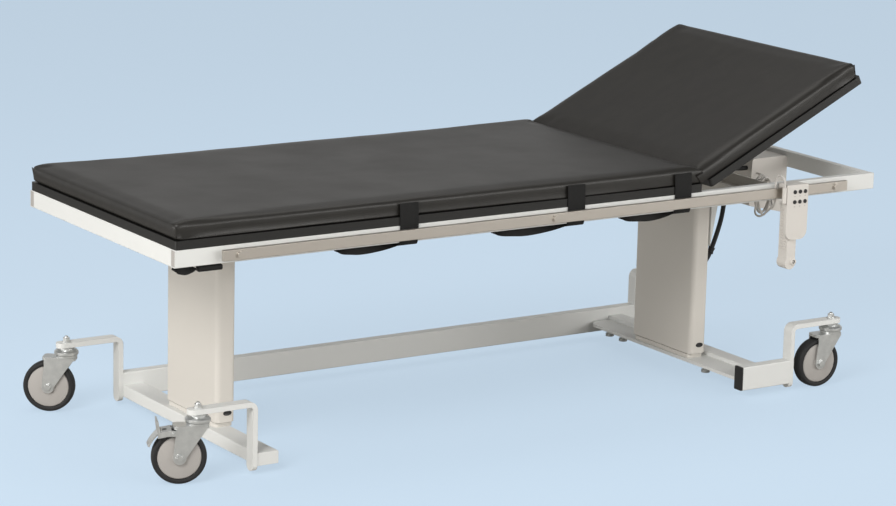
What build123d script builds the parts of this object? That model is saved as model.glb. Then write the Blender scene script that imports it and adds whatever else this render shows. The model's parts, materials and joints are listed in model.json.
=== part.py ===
"""Examination couch with an electrically raised bed, a folding backrest and four braked castors.

The origin is at floor level under the middle of the couch. +X runs to the head end, -Y is the side
that carries the hand control, and +Z is up. All lengths are in millimetres.
"""

from build123d import *
import math
import os

# ---------------------------------------------------------------- driving dimensions
# Lengths along the couch are measured from near the middle of the bed; the middle of the whole
# couch, castors included, is this much further to the head end
COUCH_MIDDLE = 16.5

# Bed frame: two side tubes and two end tubes
FRAME_LENGTH = 1980
FRAME_WIDTH = 730
FOOT_END = -956
TUBE_THICK = 20
FRAME_BOTTOM = 505
FRAME_TOP = 545

# Boards and mattress
BOARD_THICK = 20
MATTRESS_THICK = 40
SKIN_GAP = 0.4
BODY_GAP = 1.0

# Backrest: the pin sits level with the top of the frame
HINGE_X = 494
HINGE_Z = FRAME_TOP
BACKREST_ANGLE = 26
BACKREST_LENGTH = 530
BOARD_TO_HINGE = 20
FOLD_ANGLE = 32
BAR_Y = 195
BAR_WIDTH = 40
BAR_THICK = 8
PIN_R = 4
KNUCKLE_R = 8
KNUCKLE_WIDTH = 16
EAR_THICK = 6

# Lifting columns, in three stages that slide inside each other
COLUMN_X = {"foot": -694, "head": 676}
COLUMN_DEPTH = 50
COLUMN_WIDTH = 250
COLUMN_CORNER = 12
COLUMN_WALL = 3
STAGE_GAP = 1.5
FLANGE_BOTTOM = 50
FLANGE_TOP = 60
CHANNEL_DEPTH = 110
CHANNEL_HEIGHT = 30

# Base
ARM_Y = 332
BASE_FOOT_END = -734
BASE_HEAD_END = 798
BASE_BOTTOM = 20
BASE_WALL = 3
SIDE_TUBE_HEIGHT = 60
SIDE_TUBE_WIDTH = 30
NEAR_TUBE_END = 650
CROSS_TUBE_WIDTH = 56
CROSS_TUBE_OVERHANG = 9
HEAD_CROSS_X = (714, 758)
HEAD_PLATE_WIDTH = 68
HEAD_PLATE_THICK = 8
ARM_THICK = 12
ARM_WIDTH = 30
ARM_TOP = 172
ARM_BOTTOM = 8
ARM_BEND = 20
ARM_PAST_STEM = 26
LEVELLING_FEET = [(704, -125, 42), (704, 235, 42), (704, 295, 42), (-696, 300, BASE_BOTTOM)]

# Castors: name -> stem position and the heading in which the wheel trails
STEM_X = {"foot": -879, "head": 936}
CASTOR_HEADING = {"near_foot": 158, "far_foot": 142, "near_head": 179, "far_head": 164}
BRAKED = "near_foot"
WHEEL_R = 62.5
WHEEL_WIDTH = 30
FORK_TOP = 136
CASTOR_TRAIL = 42
AXLE_R = 6
FORK_INNER = 17.5
FORK_OUTER = 20.5
FORK_TIP_R = 15
RUNNING_FIT = 0.08

# Accessory rail
RAIL_HEIGHT = 25
RAIL_THICK = 10
RAIL_STANDOFF = 15
RAIL_SPAN = (-848, 917)
RAIL_Z = 527
RAIL_BOLTS_X = (-809, 34, 879)

# Straps and their loose tails: foot end, lowest point and head end along X, and depth
STRAPS_X = (-356, 109, 423)
STRAP_WIDTH = 50
STRAP_TAILS = [(-539, -476, -382, 12), (-114, -26, 83, 15), (251, 330, 397, 5)]
CORNER_TAIL = (-952, -925, -899, 14)
STRAP_ROLL_X = (-893, -834)

# Backrest actuator, under the far half of the seat: it pushes a lever below the hinge
ACTUATOR_PIVOT = (110, 467)
LEVER_LENGTH = 80
LEVER_LEAN = 30
LEVER_END_R = 11
ACTUATOR_PIN_R = 5
HOUSING_R = 15
HOUSING_LENGTH = 290
HOUSING_HOLLOW = 100
ROD_R = 10
ROD_INNER = 170
FORK_REACH = 20

# Hand control
HANDSET_X = (711, 777)
HANDSET_Z = (410, 548)
HANDSET_FRONT = -410
HEEL_R = 17
BUTTON_R = 5
BUTTON_COLUMNS = (735, 751, 767)
BUTTON_ROWS = (530, 505)
BUTTON_TRAVEL = 1.5

# Control box, with its mains inlet
BOX_FRONT = 890
BOX_TOP = 535
BOX_LOW_FRONT = 412
BOX_LOW_BACK = 384
BOX_Y = (-45, 135)
INLET_X = (930, 958)
INLET_Z = (440, 462)
INLET_DEPTH = 14

# Leads
HAND_LEAD_D = 5
COLUMN_LEAD_D = 12
HANK_CENTRE = (781, -228, 485)
HANK_OUTER = (110, 70)
HANK_BUNDLE = 16
HANK_WIDTH = 20
HOOK_R = 3
LEAD_DROP_Y = -405.5
SLEEVE_Z = (504, 544)
BOX_LEAD_ROUTE = [
    (905, -45, 497), (905, -70, 497), (897, -98, 485), (882, -128, 468), (864, -158, 455),
    (845, -186, 448), (828, -208, 449), (816, -222, 459), (810, -227, 476),
]
HAND_LEAD_ROUTE = [
    (751, -228, 478), (746, -233, 456), (738, -251, 443), (731, -280, 443), (722, -311, 458),
    (714, -340, 476), (707, -362, 487), (703.5, -372.5, 503), (703, -372.5, 526),
    (704, -372.5, 562), (705, -389, 573), (705.5, -405.5, 562), (705.9, -405.2, 546),
    (705.5, -405.5, 530),
]
COLUMN_LEAD_ROUTE = [
    (890, -22, 508), (862, -22, 508), (828, -36, 519), (800, -54, 512), (787, -65, 482),
    (786, -67, 440), (781, -66, 398), (770, -65, 360), (756, -64, 322), (741, -64, 290), (701, -65, 258),
]

# ---------------------------------------------------------------- derived values
HEAD_END = FOOT_END + FRAME_LENGTH
SIDE = FRAME_WIDTH / 2
INNER_SIDE = SIDE - TUBE_THICK
RAIL_INNER = SIDE + RAIL_STANDOFF
RAIL_OUTER = RAIL_INNER + RAIL_THICK
SEAT_END = HINGE_X - BOARD_TO_HINGE / 2
MATTRESS_BOTTOM = FRAME_TOP + BOARD_THICK + SKIN_GAP
MATTRESS_TOP = MATTRESS_BOTTOM + MATTRESS_THICK
FOLD_SLOPE = math.tan(math.radians(FOLD_ANGLE))
BEAM_NEAR_FACE = ARM_Y - SIDE_TUBE_WIDTH / 2
SIDE_TUBE_Z = (BASE_BOTTOM, BASE_BOTTOM + SIDE_TUBE_HEIGHT)
NEAR_TUBE_Y = (-ARM_Y - SIDE_TUBE_WIDTH / 2, -ARM_Y + SIDE_TUBE_WIDTH / 2)
STAND = (Align.CENTER, Align.CENTER, Align.MIN)


def span_box(x, y, z):
    """A box that fills the three (low, high) spans."""
    size = [high - low for low, high in (x, y, z)]
    middle = [(low + high) / 2 for low, high in (x, y, z)]
    return Pos(*middle) * Box(*size)


def rect_tube(x, y, z, along, wall):
    """A rectangular tube, open at both ends, with slightly rounded long edges."""
    axis = {"X": Axis.X, "Y": Axis.Y, "Z": Axis.Z}[along]
    outer = span_box(x, y, z)
    outer = fillet(outer.edges().filter_by(axis), wall * 0.9)
    spans = [x, y, z]
    inner = [(low + wall, high - wall) for low, high in spans]
    index = "XYZ".index(along)
    inner[index] = spans[index]
    return outer - span_box(*inner)


def plate_xz(points, y):
    """A flat plate: an outline of (x, z) points, thick from one y to the other."""
    outline = make_face(Polyline(*[(px, 0, pz) for px, pz in points], close=True))
    return Pos(0, y[1], 0) * extrude(outline, y[1] - y[0], dir=(0, -1, 0))


def rod(start, end, radius):
    """A round bar from one point to another."""
    line = Vector(*end) - Vector(*start)
    return Plane(origin=start, z_dir=line) * Cylinder(
        radius, line.length, align=STAND)


def backrest_place():
    """The backrest's own frame: x along the board from the pin, z square to the board."""
    return Location((HINGE_X, 0, HINGE_Z), (0, -BACKREST_ANGLE, 0))


def corner_radii(points, share=0.45):
    """The largest arc that each inner corner of a lead's route allows."""
    radii = []
    for before, corner, after in zip(points, points[1:], points[2:]):
        run_in = Vector(*corner) - Vector(*before)
        run_out = Vector(*after) - Vector(*corner)
        half_turn = math.radians(run_in.get_angle(run_out)) / 2
        radii.append(share * min(run_in.length, run_out.length) / math.tan(half_turn))
    return radii


def lead_tube(name, points, diameter):
    """A lead of straight runs joined by tangent arcs."""
    radii = corner_radii(points)
    print(name, "radii", [round(radius, 1) for radius in radii])
    path = FilletPolyline(*points, radius=radii)
    start = Plane(origin=path @ 0, z_dir=path % 0)
    tube = sweep(start * Circle(diameter / 2), path=path)
    print(name, "length", round(path.length, 1), "volume / (section x length)",
          round(tube.volume / (math.pi * diameter ** 2 / 4 * path.length), 4))
    return tube


# ---------------------------------------------------------------- base
def foot_cross_tube():
    """The cross tube at the foot end, with a plate welded over its near end."""
    x = (BASE_FOOT_END, BASE_FOOT_END + CROSS_TUBE_WIDTH)
    z = (BASE_BOTTOM, FLANGE_BOTTOM)
    near_end = -ARM_Y - CROSS_TUBE_OVERHANG
    tube = rect_tube(x, (near_end, BEAM_NEAR_FACE), z, "Y", BASE_WALL)
    plate = span_box(x, (near_end - BASE_WALL, near_end), z)
    return tube + fillet(plate.edges().filter_by(Axis.Y), BASE_WALL * 0.9)


def long_beam():
    y = (BEAM_NEAR_FACE, BEAM_NEAR_FACE + SIDE_TUBE_WIDTH)
    return rect_tube((BASE_FOOT_END, BASE_HEAD_END), y, SIDE_TUBE_Z, "X", BASE_WALL)


def near_side_tube():
    return rect_tube((NEAR_TUBE_END, BASE_HEAD_END), NEAR_TUBE_Y, SIDE_TUBE_Z, "X", BASE_WALL)


def head_cross_frame():
    """The cross tube at the head end and, welded to it, the plate that carries the head column."""
    y = (NEAR_TUBE_Y[1], BEAM_NEAR_FACE)
    tube = rect_tube(HEAD_CROSS_X, y, (BASE_BOTTOM, FLANGE_TOP), "Y", BASE_WALL)
    plate_x = (HEAD_CROSS_X[0] - HEAD_PLATE_WIDTH, HEAD_CROSS_X[0])
    plate = span_box(plate_x, (y[0], y[1] - 4), (FLANGE_BOTTOM - HEAD_PLATE_THICK, FLANGE_BOTTOM))
    far_corner = plate.edges().filter_by(Axis.Z).sort_by(Axis.Y)[-2:].sort_by(Axis.X)[0]
    return tube + fillet(far_corner, 30)


def base_end_caps():
    """The plastic cap in the foot end of the near side tube: a flange outside and a plug inside."""
    flange = span_box((NEAR_TUBE_END - 4, NEAR_TUBE_END), NEAR_TUBE_Y, SIDE_TUBE_Z)
    flange = fillet(flange.edges().filter_by(Axis.X), 2.5)
    inset = BASE_WALL + 0.5
    plug_y = (NEAR_TUBE_Y[0] + inset, NEAR_TUBE_Y[1] - inset)
    plug_z = (SIDE_TUBE_Z[0] + inset, SIDE_TUBE_Z[1] - inset)
    return flange + span_box((NEAR_TUBE_END - 1, NEAR_TUBE_END + 12), plug_y, plug_z)


def castor_arm(end, y):
    """A flat bar that climbs from the base and bends outward over the castor."""
    outward = -1 if end == "foot" else 1
    inner_x = BASE_FOOT_END if end == "foot" else BASE_HEAD_END
    tip_x = STEM_X[end] + outward * ARM_PAST_STEM
    outer_x = inner_x + outward * ARM_THICK
    low = ARM_TOP - ARM_THICK
    outline = make_face(Polyline((inner_x, 0, ARM_BOTTOM), (inner_x, 0, ARM_TOP), (tip_x, 0, ARM_TOP),
                                 (tip_x, 0, low), (outer_x, 0, low), (outer_x, 0, ARM_BOTTOM), close=True))
    bar = Pos(0, ARM_WIDTH / 2, 0) * extrude(outline, ARM_WIDTH, dir=(0, -1, 0))
    across = bar.edges().filter_by(Axis.Y)
    bend_outside = across.sort_by_distance(Vector(inner_x, 0, ARM_TOP))[0]
    bar = fillet(bend_outside, ARM_BEND)
    bend_inside = bar.edges().filter_by(Axis.Y).sort_by_distance(Vector(outer_x, 0, low))[0]
    bar = fillet(bend_inside, ARM_BEND - ARM_THICK)
    tip_edges = bar.edges().filter_by(Axis.Z).sort_by_distance(Vector(tip_x, 0, low))[:2]
    bar = fillet(tip_edges, ARM_WIDTH / 2 - 0.5)
    foot_edges = bar.edges().filter_by(Axis.X).sort_by_distance(Vector(inner_x, 0, ARM_BOTTOM))[:2]
    bar = fillet(foot_edges, ARM_WIDTH / 2 - 0.5)
    hole = Pos(STEM_X[end], 0, low) * Cylinder(AXLE_R + RUNNING_FIT / 4, 3 * ARM_THICK)
    return Pos(0, y, 0) * (bar - hole)


def castor_arms(end):
    return Compound([castor_arm(end, -ARM_Y), castor_arm(end, ARM_Y)])


def castor_stem():
    """The bolt that holds a castor: a head under the fork, a shank, and a dome nut above the arm."""
    shank = Pos(0, 0, FORK_TOP - 12) * Cylinder(AXLE_R, ARM_TOP - FORK_TOP + 12, align=STAND)
    head = Pos(0, 0, FORK_TOP - 15) * Cylinder(10, 6, align=STAND)
    washer = Pos(0, 0, ARM_TOP) * Cylinder(11, 1.6, align=STAND)
    nut = Pos(0, 0, ARM_TOP + 1.6) * extrude(RegularPolygon(8.8, 6), 9)
    dome = Pos(0, 0, ARM_TOP + 10.5) * Sphere(5.4)
    return shank + head + washer + nut + dome


def castor_places():
    return {f"{side}_{end}": (STEM_X[end], y)
            for side, y in (("near", -ARM_Y), ("far", ARM_Y)) for end in ("foot", "head")}


def castor_stems():
    return Compound([Pos(x, y, 0) * castor_stem() for x, y in castor_places().values()])


def levelling_feet():
    """Screw feet under the base, raised clear of the floor while the couch is on its castors."""
    feet = []
    for x, y, top in LEVELLING_FEET:
        stud = Pos(x, y, 16) * Cylinder(4, top - 16, align=STAND)
        disc = Pos(x, y, 10) * Cylinder(11, 7, align=STAND)
        feet.append(stud + disc)
    return Compound(feet)


# ---------------------------------------------------------------- lifting columns
def column_profile(shrink, bottom, top):
    """One stage of a column: a rounded rectangular tube, smaller than the outer one by shrink."""
    depth = COLUMN_DEPTH - 2 * shrink
    width = COLUMN_WIDTH - 2 * shrink
    corner = max(COLUMN_CORNER - shrink, 4)
    wall = COLUMN_WALL
    outer = RectangleRounded(depth, width, corner)
    inner = RectangleRounded(depth - 2 * wall, width - 2 * wall, max(corner - wall, 1.5))
    return Pos(0, 0, bottom) * extrude(outer - inner, top - bottom)


def column_inner(end):
    shrink = 2 * (COLUMN_WALL + STAGE_GAP)
    flange = span_box((-23, 23), (-117, 117), (FLANGE_BOTTOM, FLANGE_TOP))
    flange = fillet(flange.edges().filter_by(Axis.Z), 8)
    return Pos(COLUMN_X[end], 0, 0) * (flange + column_profile(shrink, FLANGE_TOP, 480))


def column_middle(end):
    return Pos(COLUMN_X[end], 0, 0) * column_profile(COLUMN_WALL + STAGE_GAP, 64, 492)


def column_sleeve(end):
    sleeve = column_profile(0, 62, FRAME_BOTTOM)
    return Pos(COLUMN_X[end], 0, 0) * sleeve


def column_channel(end):
    """The cross channel on top of a column, which carries the bed frame."""
    x = COLUMN_X[end]
    half = CHANNEL_DEPTH / 2
    z = (FRAME_BOTTOM, FRAME_BOTTOM + CHANNEL_HEIGHT)
    y = (-INNER_SIDE, INNER_SIDE)
    outer = span_box((x - half, x + half), y, z)
    channel = outer - span_box((x - half + 4, x + half - 4), y, (z[0] + 4, z[1]))
    if end == "head":
        channel += lead_hook(x + half)
    return channel


def lead_hook(face_x):
    """A bent rod on the channel, over which the spare lead of the hand control hangs."""
    x, y, middle = HANK_CENTRE
    z = middle + HANK_OUTER[0] / 2 - HANK_BUNDLE - HOOK_R - 1
    bend = (x, y + HANK_WIDTH, z)
    stem = rod((face_x, y + HANK_WIDTH, z), bend, HOOK_R)
    finger = rod(bend, (x, y - HANK_WIDTH, z), HOOK_R)
    return stem + finger + Pos(*bend) * Sphere(HOOK_R)


def column_gusset():
    """A triangular rib that braces the channel on the head column."""
    x = COLUMN_X["head"] + COLUMN_DEPTH / 2
    points = [(x, FRAME_BOTTOM), (x + 28, FRAME_BOTTOM), (x + 28, FRAME_BOTTOM - 12), (x, 340)]
    return plate_xz(points, (-COLUMN_WIDTH / 2, -COLUMN_WIDTH / 2 + 8))


# ---------------------------------------------------------------- bed frame
def side_tube(sign):
    y = sorted((sign * INNER_SIDE, sign * SIDE))
    return rect_tube((FOOT_END, HEAD_END), y, (FRAME_BOTTOM, FRAME_TOP), "X", 2)


def end_tube(x):
    return rect_tube(x, (-INNER_SIDE, INNER_SIDE), (FRAME_BOTTOM, FRAME_TOP), "Y", 2)


def frame_end_caps():
    caps = []
    for sign in (-1, 1):
        y = sorted((sign * INNER_SIDE, sign * SIDE))
        z = (FRAME_BOTTOM, FRAME_TOP)
        plug_y = (y[0] + 2.5, y[1] - 2.5)
        plug_z = (z[0] + 2.5, z[1] - 2.5)
        caps.append(span_box((FOOT_END, FOOT_END + 12), plug_y, plug_z))
        caps.append(span_box((HEAD_END - 12, HEAD_END), plug_y, plug_z))
    return Compound(caps)


def hinge_cross_tube():
    """The cross tube beside the fold, with a pair of ears for each hinge pin."""
    face = HINGE_X - 42
    z = (FRAME_BOTTOM, FRAME_BOTTOM + CHANNEL_HEIGHT)
    tube = rect_tube((face - 40, face), (-INNER_SIDE, INNER_SIDE), z, "Y", 2)
    ear_top = FRAME_TOP - SKIN_GAP
    outline = [(face, FRAME_BOTTOM), (face, ear_top), (HINGE_X - KNUCKLE_R, ear_top),
               (HINGE_X - KNUCKLE_R, HINGE_Z), (HINGE_X + KNUCKLE_R, HINGE_Z), (HINGE_X, FRAME_TOP - 18)]
    for bar_y in (-BAR_Y, BAR_Y):
        for side in (-1, 1):
            middle = bar_y + side * (KNUCKLE_WIDTH / 2 + 0.5 + EAR_THICK / 2)
            y = (middle - EAR_THICK / 2, middle + EAR_THICK / 2)
            top = rod((HINGE_X, y[0], HINGE_Z), (HINGE_X, y[1], HINGE_Z), KNUCKLE_R)
            bore = rod((HINGE_X, y[0] - 1, HINGE_Z), (HINGE_X, y[1] + 1, HINGE_Z), PIN_R + RUNNING_FIT)
            tube += (plate_xz(outline, y) + top) - bore
    return tube


def middle_cross_tube():
    """The cross tube under the seat, with two cheeks that carry the actuator's rear pivot."""
    px, pz = ACTUATOR_PIVOT
    z = (FRAME_BOTTOM, FRAME_BOTTOM + CHANNEL_HEIGHT)
    tube = rect_tube((px - 20, px + 20), (-INNER_SIDE, INNER_SIDE), z, "Y", 2)
    for side in (-1, 1):
        middle = BAR_Y + side * 20
        y = (middle - 3, middle + 3)
        cheek = plate_xz([(px - 20, FRAME_BOTTOM), (px + 20, FRAME_BOTTOM),
                          (px + 10, pz - 12), (px - 10, pz - 12)], y)
        tube += cheek - rod((px, y[0] - 1, pz), (px, y[1] + 1, pz), ACTUATOR_PIN_R + RUNNING_FIT)
    return tube


def rail(sign):
    y = sorted((sign * RAIL_INNER, sign * RAIL_OUTER))
    bar = span_box(RAIL_SPAN, y, (RAIL_Z - RAIL_HEIGHT / 2, RAIL_Z + RAIL_HEIGHT / 2))
    return chamfer(bar.edges().filter_by(Axis.X), 1)


def rail_bolts():
    """A spacer behind the rail and a round bolt head with its washer outside, six times."""
    pieces = []
    for sign in (-1, 1):
        for x in RAIL_BOLTS_X:
            pieces.append(rod((x, sign * SIDE, RAIL_Z), (x, sign * RAIL_INNER, RAIL_Z), 9))
            washer = rod((x, sign * RAIL_OUTER, RAIL_Z), (x, sign * (RAIL_OUTER + 1.5), RAIL_Z), 9.5)
            head = rod((x, sign * (RAIL_OUTER + 1.5), RAIL_Z), (x, sign * (RAIL_OUTER + 5), RAIL_Z), 6.5)
            pieces.append(washer + head)
    return Compound(pieces)


# ---------------------------------------------------------------- boards, mattress and straps
def seat_board():
    board = span_box((FOOT_END + 2, SEAT_END), (-SIDE, SIDE), (FRAME_TOP, FRAME_TOP + BOARD_THICK))
    return fillet(board.edges().filter_by(Axis.Z), 6)


def seat_mattress():
    """The flat part of the mattress; its head end leans back to leave room for the fold."""
    bottom = MATTRESS_BOTTOM
    fold_bottom = HINGE_X - (bottom - HINGE_Z) * FOLD_SLOPE
    fold_top = HINGE_X - (MATTRESS_TOP - HINGE_Z) * FOLD_SLOPE
    points = [(FOOT_END, bottom), (fold_bottom, bottom), (fold_top, MATTRESS_TOP), (FOOT_END, MATTRESS_TOP)]
    return plate_xz(points, (-SIDE, SIDE))


def mattress_strap(x, sign):
    """A strap that comes down the mattress side and turns under the frame tube."""
    span = (x - STRAP_WIDTH / 2, x + STRAP_WIDTH / 2)
    y = sorted((sign * (SIDE + 0.4), sign * (SIDE + 3)))
    down = span_box(span, y, (FRAME_BOTTOM - 5, MATTRESS_TOP - 8))
    under_y = sorted((sign * (SIDE + 3), sign * (SIDE - 26)))
    under = span_box(span, under_y, (FRAME_BOTTOM - 5, FRAME_BOTTOM - 2))
    return down + under


def strap_tail(x_start, x_low, x_end, depth, sign):
    """The loose end of a strap, hanging in a shallow bow under the frame tube."""
    top = FRAME_BOTTOM - 2.5
    bow = ThreePointArc((x_start, top), (x_low, top - depth), (x_end, top))
    band = Plane.XZ * trace(bow, line_width=3)
    y = sign * (SIDE - 14)
    return Pos(0, y + 10, 0) * extrude(band, 20, dir=(0, -1, 0))


def mattress_straps():
    """Three straps with their tails on each side, and a rolled-up end at the near foot corner."""
    straps = [strap_tail(*CORNER_TAIL, -1)]
    straps.append(span_box(STRAP_ROLL_X, (-SIDE + 4, -SIDE + 24), (487, 502)))
    for sign in (-1, 1):
        straps += [mattress_strap(x, sign) for x in STRAPS_X]
        straps += [strap_tail(*tail, sign) for tail in STRAP_TAILS]
    return Compound(straps)


def backrest_board():
    board = span_box((BOARD_TO_HINGE, BACKREST_LENGTH), (-SIDE, SIDE), (BODY_GAP, BODY_GAP + BOARD_THICK))
    return backrest_place() * fillet(board.edges().filter_by(Axis.Z), 6)


def backrest_mattress():
    bottom = BODY_GAP + BOARD_THICK + SKIN_GAP
    top = bottom + MATTRESS_THICK
    points = [(bottom * FOLD_SLOPE, bottom), (BACKREST_LENGTH, bottom),
              (BACKREST_LENGTH, top), (top * FOLD_SLOPE, top)]
    return backrest_place() * plate_xz(points, (-SIDE, SIDE))


def backrest_bar(bar_y):
    """A flat bar under the backrest board that ends in a knuckle on its hinge pin."""
    z = (BODY_GAP - BAR_THICK, BODY_GAP)
    y = (bar_y - BAR_WIDTH / 2, bar_y + BAR_WIDTH / 2)
    neck_y = (bar_y - KNUCKLE_WIDTH / 2, bar_y + KNUCKLE_WIDTH / 2)
    bar = span_box((14, BACKREST_LENGTH - 20), y, z)
    bar += span_box((0, 16), neck_y, z)
    bar += rod((0, neck_y[0], 0), (0, neck_y[1], 0), KNUCKLE_R - 0.5)
    if bar_y > 0:
        bar += lever(neck_y)
    bar -= rod((0, neck_y[0] - 1, 0), (0, neck_y[1] + 1, 0), PIN_R)
    reach = KNUCKLE_WIDTH / 2 + 0.5 + EAR_THICK + 2
    pin = rod((0, bar_y - reach, 0), (0, bar_y + reach, 0), PIN_R)
    return backrest_place() * Compound([bar, pin])


def lever(y):
    """The arm below the far knuckle that the actuator pushes, leaning to the foot when the bed is flat."""
    lean = math.radians(LEVER_LEAN)
    along = (-math.sin(lean), -math.cos(lean))
    across = (math.cos(lean), -math.sin(lean))
    end = (LEVER_LENGTH * along[0], LEVER_LENGTH * along[1])
    arm = plate_xz([(across[0] * 7, across[1] * 7), (-across[0] * 7, -across[1] * 7),
                    (end[0] - across[0] * 10, end[1] - across[1] * 10),
                    (end[0] + across[0] * 10, end[1] + across[1] * 10)], y)
    arm += rod((end[0], y[0], end[1]), (end[0], y[1], end[1]), LEVER_END_R)
    return arm - rod((end[0], y[0] - 1, end[1]), (end[0], y[1] + 1, end[1]), ACTUATOR_PIN_R)


# ---------------------------------------------------------------- backrest actuator
def actuator_reach():
    """From the actuator's rear pivot to the lever's end: (dx, dz, distance) with the backrest at rest."""
    angle = math.radians(LEVER_LEAN - BACKREST_ANGLE)
    dx = HINGE_X - LEVER_LENGTH * math.sin(angle) - ACTUATOR_PIVOT[0]
    dz = HINGE_Z - LEVER_LENGTH * math.cos(angle) - ACTUATOR_PIVOT[1]
    return dx, dz, math.hypot(dx, dz)


def actuator_plane():
    """The actuator's own frame: z along its rod, x across the couch, origin at the rear pivot."""
    dx, dz, length = actuator_reach()
    return Plane(origin=(ACTUATOR_PIVOT[0], BAR_Y, ACTUATOR_PIVOT[1]), x_dir=(0, 1, 0),
                 z_dir=(dx / length, 0, dz / length))


def actuator_housing():
    """Motor and barrel, with the rear pivot's pin as a separate bolt. The barrel is open at its far end."""
    barrel = Pos(0, 0, 20) * Cylinder(HOUSING_R, HOUSING_LENGTH - 20, align=STAND)
    eye = Rot(0, 90, 0) * Cylinder(12, 32)
    neck = Pos(0, 0, 14) * Box(32, 20, 28)
    motor = Pos(-30, 0, 78) * fillet(Box(40, 36, 96).edges().filter_by(Axis.Z), 10)
    bore = Rot(0, 90, 0) * Cylinder(ACTUATOR_PIN_R, 60)
    hollow = Pos(0, 0, HOUSING_HOLLOW) * Cylinder(ROD_R + RUNNING_FIT, HOUSING_LENGTH, align=STAND)
    pin = Rot(0, 90, 0) * Cylinder(ACTUATOR_PIN_R, 52)
    return actuator_plane() * Compound([barrel + eye + neck + motor - bore - hollow, pin])


def actuator_rod():
    """The rod, which ends in a fork whose two cheeks stand either side of the lever."""
    length = actuator_reach()[2]
    shaft = Pos(0, 0, ROD_INNER) * Cylinder(ROD_R, length - FORK_REACH - ROD_INNER, align=STAND)
    base = Pos(0, 0, length - FORK_REACH - 5) * Box(27, 20, 10)
    fork = shaft + base
    inner_face = KNUCKLE_WIDTH / 2 + 0.5
    for side in (-1, 1):
        across = side * (inner_face + 2.5)
        fork += Pos(across, 0, length - FORK_REACH / 2) * Box(5, 20, FORK_REACH)
        fork += Pos(across, 0, length) * Rot(0, 90, 0) * Cylinder(12, 5)
    return actuator_plane() * fork


# ---------------------------------------------------------------- castors
def castor_fork():
    """Swivel head and two side plates, with the axle as a separate bolt. The wheel trails along +X."""
    plate_z = (FORK_TOP - 7, FORK_TOP)
    head = fillet(span_box((-24, 56), (-FORK_OUTER, FORK_OUTER), plate_z).edges().filter_by(Axis.Z), 9)
    profile = [(0, FORK_TOP), (26, FORK_TOP), (26, FORK_TOP + 5), (29, FORK_TOP + 8), (29, FORK_TOP + 14),
               (25, FORK_TOP + 18), (18, FORK_TOP + 19), (18, ARM_TOP - ARM_THICK - SKIN_GAP),
               (0, ARM_TOP - ARM_THICK - SKIN_GAP)]
    outline = make_face(Polyline(*[(radius, 0, z) for radius, z in profile], close=True))
    head += revolve(outline, Axis.Z)
    head -= Pos(0, 0, FORK_TOP - 20) * Cylinder(AXLE_R + RUNNING_FIT, 60, align=STAND)
    tip = (CASTOR_TRAIL - FORK_TIP_R, CASTOR_TRAIL + FORK_TIP_R)
    outline = [(-20, plate_z[0] + 1), (51, plate_z[0] + 1), (51, 116), (tip[1], WHEEL_R), (tip[0], WHEEL_R),
               (0, 102), (-14, 122)]
    for y in ((-FORK_OUTER, -FORK_INNER), (FORK_INNER, FORK_OUTER)):
        head += plate_xz(outline, y)
        head += rod((CASTOR_TRAIL, y[0], WHEEL_R), (CASTOR_TRAIL, y[1], WHEEL_R), FORK_TIP_R)
    head -= rod((CASTOR_TRAIL, -30, WHEEL_R), (CASTOR_TRAIL, 30, WHEEL_R), AXLE_R)
    axle = rod((CASTOR_TRAIL, -22, WHEEL_R), (CASTOR_TRAIL, 22, WHEEL_R), AXLE_R)
    for sign in (-1, 1):
        bolt_head = Plane(origin=(CASTOR_TRAIL, sign * FORK_OUTER, WHEEL_R), x_dir=(1, 0, 0),
                          z_dir=(0, sign, 0))
        axle += bolt_head * extrude(RegularPolygon(8, 6), 5)
        axle += bolt_head * Cylinder(10, 1.5, align=STAND)
    return Compound([head, axle])


def castor_wheel():
    """Tyre and disc, turned about the axle."""
    half = WHEEL_WIDTH / 2
    tread = WHEEL_R
    profile = [(AXLE_R + RUNNING_FIT, 17), (14, 17), (16, 13), (40, 10), (44, half - 1), (tread - 8, half - 1),
               (tread - 2, half - 5), (tread, 0)]
    mirrored = [(radius, -y) for radius, y in reversed(profile[:-1])]
    outline = make_face(Polyline(*[(radius, y, 0) for radius, y in profile + mirrored], close=True))
    wheel = revolve(outline, Axis.Y)
    return Pos(CASTOR_TRAIL, 0, WHEEL_R) * wheel


def brake_pedal():
    """The brake pedal: a plate over the wheel with an upright lip for the toe, two flanges that carry it
    on the fork, and a curved plate that follows the tyre."""
    inner = WHEEL_R + 10
    outer = inner + 4
    start, end = math.radians(22), math.radians(58)
    arc = []
    for radius, first, last in ((inner, start, end), (outer, end, start)):
        for step in range(7):
            angle = first + (last - first) * step / 6
            arc.append((CASTOR_TRAIL + radius * math.cos(angle), WHEEL_R + radius * math.sin(angle)))
    pedal = plate_xz(arc, (-FORK_INNER, FORK_INNER))
    top = plate_xz([(60, 128), (86, 124), (90, 149), (94, 149), (91, 120), (60, 124)], (-24, 24))
    pedal += top - span_box((70, 80), (-7, 7), (110, 140))
    for y in ((-24, -21), (21, 24)):
        pedal += plate_xz([(48, 114), (48, 127), (62, 128), (91, 122), (91, 110), (70, 114)], y)
    for sign in (-1, 1):
        pedal += rod((56, sign * (FORK_OUTER + 0.1), 120), (56, sign * 28, 120), 3.5)
    return pedal


def place_castor(shape, name):
    x, y = castor_places()[name]
    return Location((x, y, 0), (0, 0, CASTOR_HEADING[name])) * shape


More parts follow.
